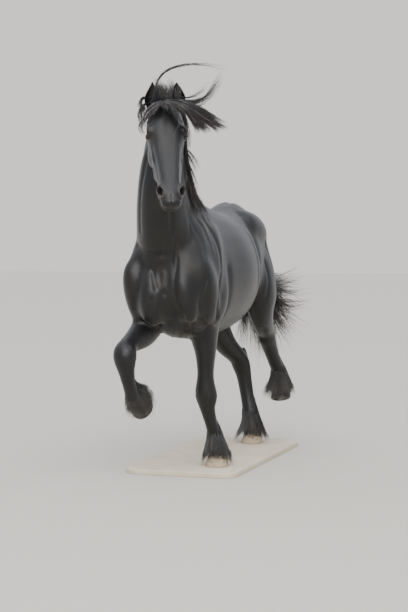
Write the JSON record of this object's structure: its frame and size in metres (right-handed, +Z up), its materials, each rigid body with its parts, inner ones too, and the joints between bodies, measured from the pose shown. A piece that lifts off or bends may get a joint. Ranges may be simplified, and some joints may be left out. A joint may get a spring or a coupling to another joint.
{
  "type": "horse figure",
  "caption": "Life-size still figure of a black Friesian horse at a trot, head up and turned, mane and tail flying, on a low flat display base.",
  "frame": {"origin": "middle of the model's box at the underside of the display base, where it stands on the floor", "axes": "+Z up, -Y the way the horse faces, +X towards the horse's left"},
  "size_m": [0.7345, 2.7242, 2.3226],
  "materials": {
    "coat": "short glossy black coat; mane, forelock, tail and feather long black hair, browner at the tips",
    "eye": "wet, near-black brown eye",
    "hoof": "dull dark grey horn with dust",
    "stand": "plain matte pale display base"
  },
  "bodies": {
    "root": {"cannon_fore_left": "coat", "cannon_fore_right": "coat", "cannon_hind_left": "coat", "cannon_hind_right": "coat", "ear_left": "coat", "ear_right": "coat", "eye_left": "eye", "eye_right": "eye", "forearm_left": "coat", "forearm_right": "coat", "gaskin_left": "coat", "gaskin_right": "coat", "head": "coat", "hoof_fore_left": "hoof", "hoof_fore_right": "hoof", "hoof_hind_left": "hoof", "hoof_hind_right": "hoof", "neck": "coat", "stand_base": "stand", "tail": "coat", "torso": "coat"}
  },
  "joints": []
}
